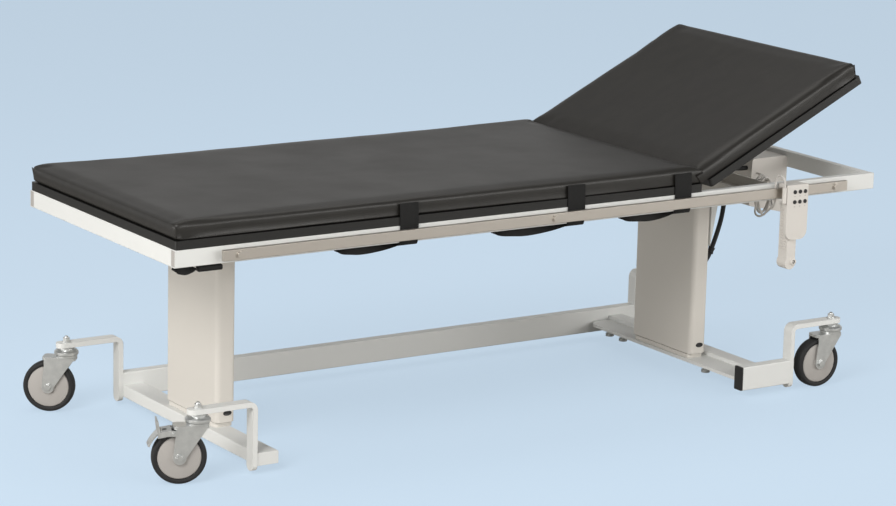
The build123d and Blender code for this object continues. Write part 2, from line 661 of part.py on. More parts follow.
# ---------------------------------------------------------------- control box, hand control and leads
def control_box():
    """The box under the head end, with a recess in its far side for the mains inlet."""
    back = HEAD_END - TUBE_THICK
    points = [(BOX_FRONT, BOX_TOP), (back, BOX_TOP), (back, BOX_LOW_BACK), (BOX_FRONT - 6, BOX_LOW_FRONT)]
    box = plate_xz(points, BOX_Y)
    box = fillet(box.edges().filter_by(Axis.Y), 8)
    flange = span_box(INLET_X, (BOX_Y[1] - 1, BOX_Y[1] + 1), INLET_Z)
    recess_x = (INLET_X[0] + 4, INLET_X[1] - 4)
    recess_z = (INLET_Z[0] + 4, INLET_Z[1] - 4)
    return box - flange - span_box(recess_x, (BOX_Y[1] - INLET_DEPTH, BOX_Y[1]), recess_z)


def mains_inlet():
    """The socket for the mains lead, in the recess of the control box."""
    socket = span_box(INLET_X, (BOX_Y[1] - 1, BOX_Y[1] + 2), INLET_Z)
    middle = (INLET_X[0] + INLET_X[1]) / 2
    for x in (middle - 6, middle, middle + 6):
        socket += span_box((x - 1, x + 1), (BOX_Y[1] - INLET_DEPTH + 1, BOX_Y[1]), (449, 453))
    return socket


def handset_shell():
    """Front plate with the button wells, the body behind it, and the hook over the rail."""
    x0, x1 = HANDSET_X
    z0, z1 = HANDSET_Z
    front = span_box((x0, x1), (HANDSET_FRONT, HANDSET_FRONT + 10), (z0, z1))
    low_corners = front.edges().filter_by(Axis.Y).sort_by(Axis.Z)[:2]
    front = fillet(low_corners, 22)
    body_y = (HANDSET_FRONT + 10, -SIDE - 3)
    grip = span_box((x0 + 14, x1 - 24), body_y, (348, 499))
    heel = rod((x0 + 27, body_y[0], 350), (x0 + 27, body_y[1], 350), HEEL_R)
    body = grip + heel
    hook_z = RAIL_Z + RAIL_HEIGHT / 2 + 0.5
    bridge = span_box((x0 + 6, x1 - 6), (HANDSET_FRONT + 10, -SIDE - 3), (hook_z, z1))
    tongue = span_box((x0 + 6, x1 - 6), (-RAIL_INNER + 0.8, -SIDE - 3), (hook_z - 10, hook_z))
    shell = front + body + bridge + tongue
    filler = span_box((x0 + 6, x1 - 6), (HANDSET_FRONT + 9.5, -RAIL_OUTER - 0.8), (499, hook_z))
    shell += filler
    for x in BUTTON_COLUMNS:
        for z in BUTTON_ROWS:
            shell -= rod((x, HANDSET_FRONT - 1, z), (x, HANDSET_FRONT + 7, z), BUTTON_R + RUNNING_FIT)
    return shell


def handset_strain_relief():
    """The sleeve on the edge of the hand control that takes its lead."""
    x = HANDSET_X[0] - 5.5
    y = LEAD_DROP_Y
    sleeve = rod((x, y, SLEEVE_Z[0]), (x, y, SLEEVE_Z[1]), 5.5)
    return sleeve - rod((x, y, SLEEVE_Z[0] + 2), (x, y, SLEEVE_Z[1] + 1), 3.3)


def handset_button(column, row):
    x = BUTTON_COLUMNS[column]
    z = BUTTON_ROWS[row]
    button = rod((x, HANDSET_FRONT - 2, z), (x, HANDSET_FRONT + 4.5, z), BUTTON_R)
    return fillet(button.edges().sort_by(Axis.Y)[:1], 1)


def cable_hank():
    """The spare lead, wound in an upright oval and hung on its hook."""
    high, wide = HANK_OUTER
    hole = SlotOverall(high - 2 * HANK_BUNDLE, wide - 2 * HANK_BUNDLE)
    ring = Rot(0, 0, 90) * (SlotOverall(high, wide) - hole)
    x, y, z = HANK_CENTRE
    return Pos(x, y + HANK_WIDTH / 2, z) * extrude(Plane.XZ * ring, HANK_WIDTH)


def write(name, shape):
    """Saves one piece, moved so that the origin is under the middle of the whole couch."""
    placed = Pos(-COUCH_MIDDLE, 0, 0) * shape
    placed.label = name
    export_step(placed, f"parts/{name}.step")


def main():
    os.makedirs("parts", exist_ok=True)
    write("foot_cross_tube", foot_cross_tube())
    write("long_beam", long_beam())
    write("near_side_tube", near_side_tube())
    write("head_cross_frame", head_cross_frame())
    write("base_end_caps", base_end_caps())
    write("castor_stems", castor_stems())
    write("levelling_feet", levelling_feet())
    for end in ("foot", "head"):
        write(f"castor_arms_{end}", castor_arms(end))
        write(f"column_inner_{end}", column_inner(end))
        write(f"column_middle_{end}", column_middle(end))
        write(f"column_sleeve_{end}", column_sleeve(end))
        write(f"column_channel_{end}", column_channel(end))
    write("column_gusset", column_gusset())
    for side, sign in (("near", -1), ("far", 1)):
        write(f"side_tube_{side}", side_tube(sign))
        write(f"rail_{side}", rail(sign))
        write(f"backrest_bar_{side}", backrest_bar(sign * BAR_Y))
    write("end_tube_foot", end_tube((FOOT_END, FOOT_END + TUBE_THICK)))
    write("end_tube_head", end_tube((HEAD_END - TUBE_THICK, HEAD_END)))
    write("frame_end_caps", frame_end_caps())
    write("hinge_cross_tube", hinge_cross_tube())
    write("middle_cross_tube", middle_cross_tube())
    write("rail_bolts", rail_bolts())
    write("seat_board", seat_board())
    write("seat_mattress", seat_mattress())
    write("mattress_straps", mattress_straps())
    write("backrest_board", backrest_board())
    write("backrest_mattress", backrest_mattress())
    write("actuator_housing", actuator_housing())
    write("actuator_rod", actuator_rod())
    for name in castor_places():
        write(f"castor_{name}_fork", place_castor(castor_fork(), name))
        write(f"castor_{name}_wheel", place_castor(castor_wheel(), name))
    write(f"castor_{BRAKED}_pedal", place_castor(brake_pedal(), BRAKED))
    write("control_box", control_box())
    write("mains_inlet", mains_inlet())
    write("handset_shell", handset_shell())
    write("handset_strain_relief", handset_strain_relief())
    for row in range(len(BUTTON_ROWS)):
        for column in range(len(BUTTON_COLUMNS)):
            write(f"handset_button_{row * 3 + column + 1}", handset_button(column, row))
    write("box_lead", lead_tube("box_lead", BOX_LEAD_ROUTE, HAND_LEAD_D))
    write("hand_lead", lead_tube("hand_lead", HAND_LEAD_ROUTE, HAND_LEAD_D))
    write("cable_hank", cable_hank())
    write("column_lead", lead_tube("column_lead", COLUMN_LEAD_ROUTE, COLUMN_LEAD_D))


if __name__ == "__main__":
    main()
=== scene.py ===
import json
import math

import bpy
from mathutils import Matrix, Vector, noise


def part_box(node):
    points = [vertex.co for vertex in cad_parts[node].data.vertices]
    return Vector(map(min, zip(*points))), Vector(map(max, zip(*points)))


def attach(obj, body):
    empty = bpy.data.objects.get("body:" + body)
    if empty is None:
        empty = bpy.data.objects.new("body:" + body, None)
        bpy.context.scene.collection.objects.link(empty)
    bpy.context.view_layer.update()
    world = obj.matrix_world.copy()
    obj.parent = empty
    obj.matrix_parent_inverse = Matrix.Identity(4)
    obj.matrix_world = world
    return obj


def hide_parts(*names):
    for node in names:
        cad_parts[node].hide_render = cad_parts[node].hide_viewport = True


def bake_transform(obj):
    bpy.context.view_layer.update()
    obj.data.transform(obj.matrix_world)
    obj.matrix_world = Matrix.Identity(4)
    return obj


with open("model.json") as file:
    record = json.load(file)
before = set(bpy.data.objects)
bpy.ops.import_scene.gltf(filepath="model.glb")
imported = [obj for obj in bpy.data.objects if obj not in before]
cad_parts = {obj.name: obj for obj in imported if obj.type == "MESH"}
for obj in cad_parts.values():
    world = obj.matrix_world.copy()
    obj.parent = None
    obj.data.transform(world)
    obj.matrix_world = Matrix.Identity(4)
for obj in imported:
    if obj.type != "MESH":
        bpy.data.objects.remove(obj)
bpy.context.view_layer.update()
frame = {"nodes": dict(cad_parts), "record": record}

# ---------------------------------------------------------------- the couch's main dimensions, in metres
# Lengths along the couch are measured from near the middle of the bed, as in the CAD source, and every
# piece is moved by SHIFT, because the frame's origin is under the middle of the whole couch.
SHIFT = Vector((-0.0165, 0, 0))
MM = 0.001
HINGE = Vector((0.494, 0.0, 0.545))
FOLD = math.radians(26)
FOOT_END = -0.956
BACKREST_LENGTH = 0.530

# Mattress: heights above the hinge, corner radii, how far the lower edge is tucked in (and over what length
# at the ends), and how far from the hinge the cover bends
HALF_WIDTH = 0.3645
PAD_BOTTOM = 0.0208
PAD_TOP = 0.0604
PAD_MIDDLE = (PAD_BOTTOM + PAD_TOP) / 2
CORNER_R = 0.012
LOW_CORNER_R = 0.005
TUCK = 0.004
TUCK_REACH = 0.020
FOLD_REACH = 0.060

# Mattress mesh: steps across, the usual step along, and the closer places from each end and from the fold
ACROSS_STEPS = 56
USUAL_STEP = 0.014
END_PLACES = [0, 0.0025, 0.006, 0.013, 0.024]
FOLD_PLACES = [0.0015, 0.004, 0.008, 0.014, 0.022, 0.033, 0.046, FOLD_REACH]

# Mattress cover: how much its ends thin and narrow, the crease at the fold, the hollow of the top, how far it
# swells and over how much of the fold it is held, its ripples, its corner seams, and the boards below it
END_THINNING = 0.62
END_NARROWING = 0.8
CREASE_DEPTH = 0.016
CREASE_REACH = 0.0055
HOLLOW_DEPTH = 0.0006
HOLLOW_EDGE = 0.15
HOLLOW_END = 0.08
SWELL_LIMIT = 0.003
SWELL_FRAMES = 20
HELD_AT_FOLD = 0.003
RIPPLE_HEIGHT = 0.0006
WIDEST_HALF = 0.3652
SEAM_STEPS = 8
SEAM_FROM_END = 0.0036
SEAM_FROM_SIDE = 0.0034
SEAM_SHORTER = 0.006
SEAM_THICK = 0.0022
BOARD_EDGE_R = 0.0085

# Camera
CAMERA_PLACE = Vector((-4.063, -6.227, 2.052))
CAMERA_TURN = math.radians(-33.06)
CAMERA_DOWN = math.radians(12.76)
CAMERA_ROLL = math.radians(1.43)
CAMERA_LENS = 125.16

# Floor: its colour, the shade that takes light and shadow, what it throws back onto the couch, and how
# much of its colour shines by itself
FLOOR_COLOUR = (0.565, 0.694, 0.823)
FLOOR_OWN_SHADE = (0.17, 0.21, 0.25)
FLOOR_BOUNCE = (0.52, 0.51, 0.49)
FLOOR_GLOW = 0.80
FLOOR_REACH = 30.0
FLOOR_CELLS = 12

# The hand control's lead: its thickness, its routes in mm from the control box to the hank and
# from the hank to the hand control, and the hank
LEAD_WIDTH = 0.005
BOX_LEAD = [
    (905, -45, 497), (905, -70, 497), (897, -98, 485), (882, -128, 468), (864, -158, 455),
    (845, -186, 448), (828, -208, 447), (812, -217, 456), (804, -219, 470),
]
HAND_LEAD = [
    (751, -238, 458), (740, -250, 444), (731, -280, 443), (722, -311, 458), (714, -340, 476),
    (707, -362, 487), (703.5, -372.5, 503), (703, -372.5, 526), (704, -372.5, 562), (705, -389, 573),
    (705.5, -405.5, 562), (705.9, -405.2, 546), (705.5, -405.5, 530),
]
HANK_CENTRE = Vector((0.781, -0.2195, 0.485))
HANK_TURNS = 3.5
HANK_STEPS = 14
HANK_PITCH = 0.0051

# Straps: their places along the bed, and their path as (distance from the middle, height) in mm.
# Tails: the foot end, lowest point and head end of each along the bed, and its depth.
STRAP_MIDDLES = [-0.356, 0.109, 0.423]
STRAP_WIDTH = 0.050
STRAP_THICK = 0.0022
STRAP_PATH = [
    (366.6, 597), (366.8, 590), (366.9, 575), (366.8, 555), (366.7, 530), (366.7, 512), (366.2, 504.5),
    (364, 500.3), (360, 498.6), (350, 498.2), (341, 498.6),
]
TAIL_Y = 0.351
TAIL_WIDTH = 0.020
TAILS = [(-0.539, -0.476, -0.382, 0.012), (-0.114, -0.026, 0.083, 0.015), (0.251, 0.330, 0.397, 0.006)]
CORNER_TAIL = (-0.952, -0.925, -0.899, 0.014)
TAIL_TOP = 0.4985
TAIL_TWIST = math.radians(78)
LEAST_HANG = 0.004
LEAST_FOOT_HANG = 0.003
STITCHES = 11
STITCH_MARGIN = 0.005
STITCH_Y = 0.36785
STITCH_Z = 0.592
ROLL_RINGS = [(-0.893, 0.8), (-0.891, 1), (-0.886, 1), (-0.842, 1), (-0.836, 1), (-0.834, 0.8)]
ROLL_HALF_WIDE = 0.0098
ROLL_HALF_HIGH = 0.0068
ROLL_Z = 0.4955

# Castors: the heading in which each wheel trails, in degrees
CASTOR_HEADING = {"near_foot": 158, "far_foot": 142, "near_head": 179, "far_head": 164}
WHEEL_R = 0.0625
TYRE_INNER_R = 0.0505
WHEEL_STEPS = 72

# Small details: the plugs' places, the collar of the head column's lead, and the hand control's ribs, boss
# and marks, with each row's height and the way its arrows point
PLUG_PLACES = {"foot": (-0.690, -0.125, 0.084), "head": (0.680, -0.125, 0.084)}
COLLAR_PLACE = (0.7515, -0.064, 0.3125)
COLLAR_AXIS = (15, 0, 32)
RIB_COUNT = 15
RIB_PITCH = 0.0070
LOWEST_RIB = Vector((0.7243, -0.3850, 0.384))
BOSS_PLACE = Vector((0.746, -0.400, 0.352))
MARK_X = (0.735, 0.751, 0.767)
MARK_ROWS = ((0.5195, 1), (0.4935, -1))
MARK_Y = -0.410

# Lamps: name, place, what it points at, size, power and colour
WARM = (1.0, 0.98, 0.95)
LAMPS = [
    ("key", (-4.2, -2.4, 3.4), (-0.2, 0, 0.3), (2.6, 2.2), 185, WARM),
    ("front", (1.8, -5.2, 2.2), (0.5, 0, 0.2), (4.0, 1.6), 82, WARM),
    ("head", (4.6, -3.8, 1.5), (0.6, 0, 0.35), (2.6, 1.8), 60, WARM),
    ("top", (0.2, 1.2, 4.2), (0, 0, 0.4), (4.0, 2.6), 44, (1.0, 0.97, 0.93)),
    ("low", (-5.5, 0.4, 0.55), (0.6, 0, 0.25), (2.4, 0.7), 60, WARM),
]

# Studio: light near the horizon and overhead, and the heights between which one turns into the other
HORIZON_LIGHT = (0.86, 0.86, 0.85)
ZENITH_LIGHT = (0.17, 0.17, 0.17)
HORIZON_TOP = 0.15
ZENITH_BOTTOM = 0.60
STUDIO_STRENGTH = 0.85


# ---------------------------------------------------------------- materials
def new_material(name, colour, roughness, metallic=0.0, specular=0.5):
    made = bpy.data.materials.new(name)
    made.use_nodes = True
    shader = made.node_tree.nodes["Principled BSDF"]
    shader.inputs["Base Color"].default_value = (*colour, 1.0)
    shader.inputs["Roughness"].default_value = roughness
    shader.inputs["Metallic"].default_value = metallic
    shader.inputs["Specular IOR Level"].default_value = specular
    return made


def texture(made, kind, scale, stretch=(1, 1, 1), **settings):
    """A texture node over the piece's own coordinates, and its first number output."""
    nodes, links = made.node_tree.nodes, made.node_tree.links
    place = nodes.new("ShaderNodeTexCoord")
    mapping = nodes.new("ShaderNodeMapping")
    mapping.inputs["Scale"].default_value = stretch
    made_texture = nodes.new(kind)
    made_texture.inputs["Scale"].default_value = scale
    for key, value in settings.items():
        made_texture.inputs[key.replace("_", " ").title()].default_value = value
    links.new(place.outputs["Object"], mapping.inputs["Vector"])
    links.new(mapping.outputs["Vector"], made_texture.inputs["Vector"])
    return made_texture.outputs[0]


def spread_value(made, source, low, high, target):
    """Feeds a texture's 0 to 1 into one of the shader's sockets, between low and high."""
    nodes, links = made.node_tree.nodes, made.node_tree.links
    spread = nodes.new("ShaderNodeMapRange")
    spread.inputs["To Min"].default_value = low
    spread.inputs["To Max"].default_value = high
    links.new(source, spread.inputs["Value"])
    links.new(spread.outputs["Result"], nodes["Principled BSDF"].inputs[target])


def spread_colour(made, source, dark, light):
    """Feeds a texture into the base colour, between two colours."""
    nodes, links = made.node_tree.nodes, made.node_tree.links
    mix = nodes.new("ShaderNodeMix")
    mix.data_type = "RGBA"
    mix.inputs["A"].default_value = (*dark, 1.0)
    mix.inputs["B"].default_value = (*light, 1.0)
    links.new(source, mix.inputs["Factor"])
    links.new(mix.outputs["Result"], nodes["Principled BSDF"].inputs["Base Color"])


def add_bump(made, source, distance, strength, edge_radius=0.0):
    """Fine relief from a texture, over edges that are softened by edge_radius."""
    nodes, links = made.node_tree.nodes, made.node_tree.links
    bump = nodes.new("ShaderNodeBump")
    bump.inputs["Distance"].default_value = distance
    bump.inputs["Strength"].default_value = strength
    links.new(source, bump.inputs["Height"])
    if edge_radius:
        bevel = nodes.new("ShaderNodeBevel")
        bevel.samples = 4
        bevel.inputs["Radius"].default_value = edge_radius
        links.new(bevel.outputs["Normal"], bump.inputs["Normal"])
    links.new(bump.outputs["Normal"], nodes["Principled BSDF"].inputs["Normal"])


def enamel(name, colour):
    """Powder coat: a faint orange-peel relief and slightly uneven gloss."""
    made = new_material(name, colour, 0.42)
    add_bump(made, texture(made, "ShaderNodeTexNoise", 650, detail=2.0), 0.00006, 0.5, edge_radius=0.0014)
    spread_value(made, texture(made, "ShaderNodeTexNoise", 9, detail=3.0), 0.36, 0.48, "Roughness")
    return made


def brushed_metal(name, colour, stretch, roughness=0.34):
    """Metal with fine lines along the long direction of stretch."""
    made = new_material(name, colour, roughness, metallic=1.0)
    lines = texture(made, "ShaderNodeTexNoise", 900, stretch, detail=4.0)
    add_bump(made, lines, 0.00008, 0.5, edge_radius=0.0008)
    spread_value(made, lines, roughness - 0.08, roughness + 0.12, "Roughness")
    return made


def zinc_plate(name):
    """Bright zinc plate with cloudy patches."""
    made = new_material(name, (0.66, 0.68, 0.68), 0.32, metallic=0.9)
    clouds = texture(made, "ShaderNodeTexNoise", 60, detail=5.0, roughness=0.65)
    spread_colour(made, clouds, (0.52, 0.54, 0.54), (0.80, 0.81, 0.80))
    spread_value(made, clouds, 0.24, 0.44, "Roughness")
    add_bump(made, texture(made, "ShaderNodeTexNoise", 400, detail=3.0), 0.00005, 0.4, edge_radius=0.0008)
    return made


def moulded_plastic(name, colour, roughness):
    """Moulded plastic with a fine spark-eroded grain."""
    made = new_material(name, colour, roughness)
    add_bump(made, texture(made, "ShaderNodeTexNoise", 1400, detail=2.0), 0.00005, 0.5, edge_radius=0.0006)
    return made


def vinyl(name):
    """Dark upholstery vinyl: pebbled grain, faint brushed streaks and an uneven sheen."""
    made = new_material(name, (0.015, 0.014, 0.012), 0.42)
    pebbles = texture(made, "ShaderNodeTexVoronoi", 520, detail=1.0)
    add_bump(made, pebbles, 0.00018, 0.35)
    streaks = texture(made, "ShaderNodeTexNoise", 34, (0.25, 1.0, 1.0), detail=6.0, roughness=0.6)
    spread_colour(made, streaks, (0.009, 0.0085, 0.0075), (0.024, 0.022, 0.019))
    spread_value(made, texture(made, "ShaderNodeTexNoise", 7, detail=4.0), 0.38, 0.50, "Roughness")
    return made


def laminate(name):
    """Black covered board with a faint grain along its length."""
    made = new_material(name, (0.010, 0.010, 0.0095), 0.36)
    grain = texture(made, "ShaderNodeTexNoise", 240, (0.12, 1.0, 1.0), detail=4.0)
    add_bump(made, grain, 0.00010, 0.4)
    return made


def webbing(name):
    """Woven strap: ribs across and along."""
    made = new_material(name, (0.014, 0.014, 0.014), 0.78, specular=0.25)
    nodes, links = made.node_tree.nodes, made.node_tree.links
    across = texture(made, "ShaderNodeTexWave", 260, (1, 0, 0), distortion=0.6)
    along = texture(made, "ShaderNodeTexWave", 190, (0, 0.7, 0.7), distortion=0.6)
    both = nodes.new("ShaderNodeMath")
    both.operation = "MULTIPLY"
    links.new(across, both.inputs[0])
    links.new(along, both.inputs[1])
    add_bump(made, both.outputs["Value"], 0.0004, 0.8)
    return made


def rubber(name, colour, roughness):
    """Rubber or soft sheath with a dusty, uneven surface."""
    made = new_material(name, colour, roughness, specular=0.3)
    dust = texture(made, "ShaderNodeTexNoise", 90, detail=5.0)
    spread_value(made, dust, roughness - 0.07, roughness + 0.08, "Roughness")
    add_bump(made, texture(made, "ShaderNodeTexNoise", 800, detail=2.0), 0.00008, 0.4)
    return made


def chrome(name):
    """Polished rod with the finest circular wear marks."""
    made = new_material(name, (0.78, 0.79, 0.80), 0.10, metallic=1.0)
    add_bump(made, texture(made, "ShaderNodeTexNoise", 500, (1.0, 0.2, 0.2), detail=2.0), 0.00002, 0.3)
    return made


MATERIALS = {
    "white_enamel": enamel("white_enamel", (0.765, 0.775, 0.76)),
    "column_enamel": enamel("column_enamel", (0.70, 0.67, 0.62)),
    "rail_steel": brushed_metal("rail_steel", (0.60, 0.56, 0.51), (0.02, 1.0, 1.0)),
    "castor_zinc": zinc_plate("castor_zinc"),
    "castor_rubber": rubber("castor_rubber", (0.022, 0.022, 0.023), 0.62),
    "black_plastic": moulded_plastic("black_plastic", (0.014, 0.014, 0.015), 0.42),
    "grey_plastic": moulded_plastic("grey_plastic", (0.42, 0.40, 0.38), 0.48),
    "handset_plastic": moulded_plastic("handset_plastic", (0.70, 0.67, 0.63), 0.40),
    "rod_chrome": chrome("rod_chrome"),
    "board_laminate": laminate("board_laminate"),
    "mattress_vinyl": vinyl("mattress_vinyl"),
    "strap_webbing": webbing("strap_webbing"),
    "lead_grey": rubber("lead_grey", (0.60, 0.58, 0.55), 0.50),
    "lead_black": rubber("lead_black", (0.016, 0.016, 0.017), 0.48),
}


def paint_cad():
    """Every CAD node takes the material of its slot in the record."""
    for entry in frame["record"]["subparts"]:
        node = frame["nodes"][entry["node"]]
        node.data.materials.clear()
        node.data.materials.append(MATERIALS[entry["material_slot"]])


# ---------------------------------------------------------------- mesh helpers
def new_piece(name, vertices, faces, slot, body=None, sharp=None):
    """A smooth mesh piece with its slot's material. It rides on body; edges over sharp degrees stay sharp."""
    mesh = bpy.data.meshes.new(name)
    mesh.from_pydata([tuple(Vector(v) + SHIFT) for v in vertices], [], faces)
    mesh.validate()
    mesh.update()
    mesh.shade_smooth()
    if sharp:
        mesh.set_sharp_from_angle(angle=math.radians(sharp))
    mesh.materials.append(MATERIALS[slot])
    piece = bpy.data.objects.new(name, mesh)
    bpy.context.scene.collection.objects.link(piece)
    if body:
        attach(piece, body)
    return piece


def join_rings(rings, closed_along=False):
    """Vertices and faces of a closed surface through rings of equally many points, with a cap at each end."""
    count = len(rings[0])
    vertices = [point for ring in rings for point in ring]
    faces = []
    for i in range(len(rings) if closed_along else len(rings) - 1):
        here, there = i * count, (i + 1) % len(rings) * count
        for j in range(count):
            k = (j + 1) % count
            faces.append((here + j, here + k, there + k, there + j))
    if not closed_along:
        faces.append(tuple(range(count))[::-1])
        faces.append(tuple(range((len(rings) - 1) * count, len(rings) * count)))
    return vertices, faces


def add_part(whole, part):
    """Adds one part's vertices and faces to a list that holds several."""
    first = len(whole[0])
    whole[0].extend(part[0])
    whole[1].extend(tuple(first + i for i in face) for face in part[1])


def turned(profile, centre, axis, steps=32, ring=False):
    """A turned shape. The profile, as (distance along axis, radius), runs end to end or all round a ring."""
    axis = Vector(axis).normalized()
    side = axis.orthogonal().normalized()
    other = axis.cross(side)
    rings = []
    for along, radius in profile:
        circle = []
        for i in range(steps):
            angle = math.tau * i / steps
            spoke = side * math.cos(angle) + other * math.sin(angle)
            circle.append(Vector(centre) + axis * along + spoke * radius)
        rings.append(circle)
    return join_rings(rings, closed_along=ring)


def rounded_bar(centre, half, radius=0.0006):
    """A small bar with chamfered long edges and tapered ends; half is its half size along X, Y and Z."""
    hx, hy, hz = half
    outline = [
        (-hy + radius, -hz), (hy - radius, -hz), (hy, -hz + radius), (hy, hz - radius),
        (hy - radius, hz), (-hy + radius, hz), (-hy, hz - radius), (-hy, -hz + radius),
    ]
    rings = [
        [Vector(centre) + Vector((x, y * share, z * share)) for y, z in outline]
        for x, share in ((-hx, 0.8), (-hx + radius, 1.0), (hx - radius, 1.0), (hx, 0.8))
    ]
    return join_rings(rings)


def ribbon(points, across, thick):
    """A flat strap along points; across holds the half-width vector at each point."""
    rings = []
    for i, point in enumerate(points):
        ahead = (points[min(i + 1, len(points) - 1)] - points[max(i - 1, 0)]).normalized()
        wide = across[i]
        up = ahead.cross(wide).normalized() * thick / 2
        edge = wide * 0.04
        rings.append([
            point - wide + edge - up, point + wide - edge - up, point + wide,
            point + wide - edge + up, point - wide + edge + up, point - wide,
        ])
    return join_rings(rings)


def smooth_path(points, steps):
    """Points of a Catmull-Rom curve through the given ones."""
    ends = [points[0] * 2 - points[1], *points, points[-1] * 2 - points[-2]]
    out = []
    for i in range(1, len(ends) - 2):
        a, b, c, d = ends[i - 1:i + 3]
        for k in range(steps):
            t = k / steps
            out.append(0.5 * (2 * b + (c - a) * t + (2 * a - 5 * b + 4 * c - d) * t**2
                              + (3 * b - a - 3 * c + d) * t**3))
    return out + [points[-1]]


# ---------------------------------------------------------------- camera, floor and light
def make_camera():
    """A long lens from beyond the near foot corner, looking slightly down."""
    ahead = Vector((
        -math.sin(CAMERA_TURN) * math.cos(CAMERA_DOWN),
        math.cos(CAMERA_TURN) * math.cos(CAMERA_DOWN),
        -math.sin(CAMERA_DOWN),
    ))
    level = Vector((math.cos(CAMERA_TURN), math.sin(CAMERA_TURN), 0))
    upward = level.cross(ahead)
    right = level * math.cos(CAMERA_ROLL) + upward * math.sin(CAMERA_ROLL)
    up = upward * math.cos(CAMERA_ROLL) - level * math.sin(CAMERA_ROLL)
    data = bpy.data.cameras.new("camera")
    data.sensor_fit = "HORIZONTAL"
    data.sensor_width = 36
    data.lens = CAMERA_LENS
    data.clip_end = 200
    camera = bpy.data.objects.new("camera", data)
    turn = Matrix((right, up, -ahead)).transposed().to_4x4()
    camera.matrix_world = Matrix.Translation(CAMERA_PLACE + SHIFT) @ turn
    bpy.context.scene.collection.objects.link(camera)
    bpy.context.scene.camera = camera


def make_floor():
    """A wide blue floor. The camera sees its own colour, and the couch gets a paler light back from it."""
    row = FLOOR_CELLS + 1
    places = [-FLOOR_REACH + i * 2 * FLOOR_REACH / FLOOR_CELLS for i in range(row)]
    vertices = [(x, y, 0) for x in places for y in places]
    faces = []
    for i in range(FLOOR_CELLS):
        for j in range(FLOOR_CELLS):
            first = i * row + j
            faces.append((first, first + row, first + row + 1, first + 1))
    mesh = bpy.data.meshes.new("floor")
    mesh.from_pydata(vertices, [], faces)
    paint = new_material("floor_paint", FLOOR_COLOUR, 0.9, specular=0.1)
    nodes, links = paint.node_tree.nodes, paint.node_tree.links
    shader = nodes["Principled BSDF"]
    path = nodes.new("ShaderNodeLightPath")
    mix = nodes.new("ShaderNodeMix")
    mix.data_type = "RGBA"
    mix.inputs["A"].default_value = (*FLOOR_BOUNCE, 1)
    mix.inputs["B"].default_value = (*FLOOR_OWN_SHADE, 1)
    glow = nodes.new("ShaderNodeMath")
    glow.operation = "MULTIPLY"
    glow.inputs[1].default_value = FLOOR_GLOW
    links.new(path.outputs["Is Camera Ray"], mix.inputs["Factor"])
    links.new(mix.outputs["Result"], shader.inputs["Base Color"])
    links.new(path.outputs["Is Camera Ray"], glow.inputs[0])
    shader.inputs["Emission Color"].default_value = (*FLOOR_COLOUR, 1)
    links.new(glow.outputs["Value"], shader.inputs["Emission Strength"])
    mesh.materials.append(paint)
    floor = bpy.data.objects.new("floor", mesh)
    bpy.context.scene.collection.objects.link(floor)


def area_light(name, place, aim, size, power, colour):
    data = bpy.data.lights.new(name, "AREA")
    data.shape = "RECTANGLE"
    data.size, data.size_y = size
    data.energy = power
    data.color = colour
    light = bpy.data.objects.new(name, data)
    direction = Vector(aim) - Vector(place)
    light.rotation_euler = direction.to_track_quat("-Z", "Y").to_euler()
    light.location = place
    bpy.context.scene.collection.objects.link(light)


def make_lights():
    """A studio that is bright near the horizon and dim above, with large soft lamps."""
    world = bpy.data.worlds.new("studio")
    world.use_nodes = True
    nodes, links = world.node_tree.nodes, world.node_tree.links
    place = nodes.new("ShaderNodeTexCoord")
    split = nodes.new("ShaderNodeSeparateXYZ")
    height = nodes.new("ShaderNodeMapRange")
    height.inputs["From Min"].default_value = HORIZON_TOP
    height.inputs["From Max"].default_value = ZENITH_BOTTOM
    mix = nodes.new("ShaderNodeMix")
    mix.data_type = "RGBA"
    mix.inputs["A"].default_value = (*HORIZON_LIGHT, 1)
    mix.inputs["B"].default_value = (*ZENITH_LIGHT, 1)
    links.new(place.outputs["Generated"], split.inputs["Vector"])
    links.new(split.outputs["Z"], height.inputs["Value"])
    links.new(height.outputs["Result"], mix.inputs["Factor"])
    links.new(mix.outputs["Result"], nodes["Background"].inputs["Color"])
    nodes["Background"].inputs["Strength"].default_value = STUDIO_STRENGTH
    bpy.context.scene.world = world
    for lamp in LAMPS:
        area_light(*lamp)


# ---------------------------------------------------------------- the hand control's lead
def hank_points():
    """Turns of an upright, slightly uneven oval coil, each a lead's width nearer than the last."""
    points = []
    for i in range(1, round(HANK_TURNS * HANK_STEPS)):
        turn = i / HANK_STEPS
        angle = math.tau * turn
        half_wide = 0.0215 + 0.0045 * math.sin(angle) + 0.0022 * math.sin(1.9 * turn)
        half_high = 0.047 + 0.0045 * math.sin(2.6 * turn + 1)
        points.append(HANK_CENTRE + Vector((
            half_wide * math.cos(angle),
            -HANK_PITCH * turn,
            half_high * math.sin(angle),
        )))
    return points


def make_lead():
    """One lead from the control box, through its hank, to the hand control."""
    points = [Vector(p) * MM for p in BOX_LEAD] + hank_points() + [Vector(p) * MM for p in HAND_LEAD]
    points = [p + SHIFT for p in points]
    curve = bpy.data.curves.new("control_lead", "CURVE")
    curve.dimensions = "3D"
    spline = curve.splines.new("NURBS")
    spline.points.add(len(points) - 1)
    for place, point in zip(spline.points, points):
        place.co = (*point, 1)
    spline.order_u = 3
    spline.use_endpoint_u = True
    spline.resolution_u = 6
    curve.bevel_depth = LEAD_WIDTH / 2
    curve.bevel_resolution = 5
    curve.use_fill_caps = True
    curve.materials.append(MATERIALS["lead_grey"])
    lead = bpy.data.objects.new("control_lead", curve)
    bpy.context.scene.collection.objects.link(lead)
    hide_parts("box_lead", "hand_lead", "cable_hank")
    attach(lead, "bed_frame")


make_camera()
make_lead()


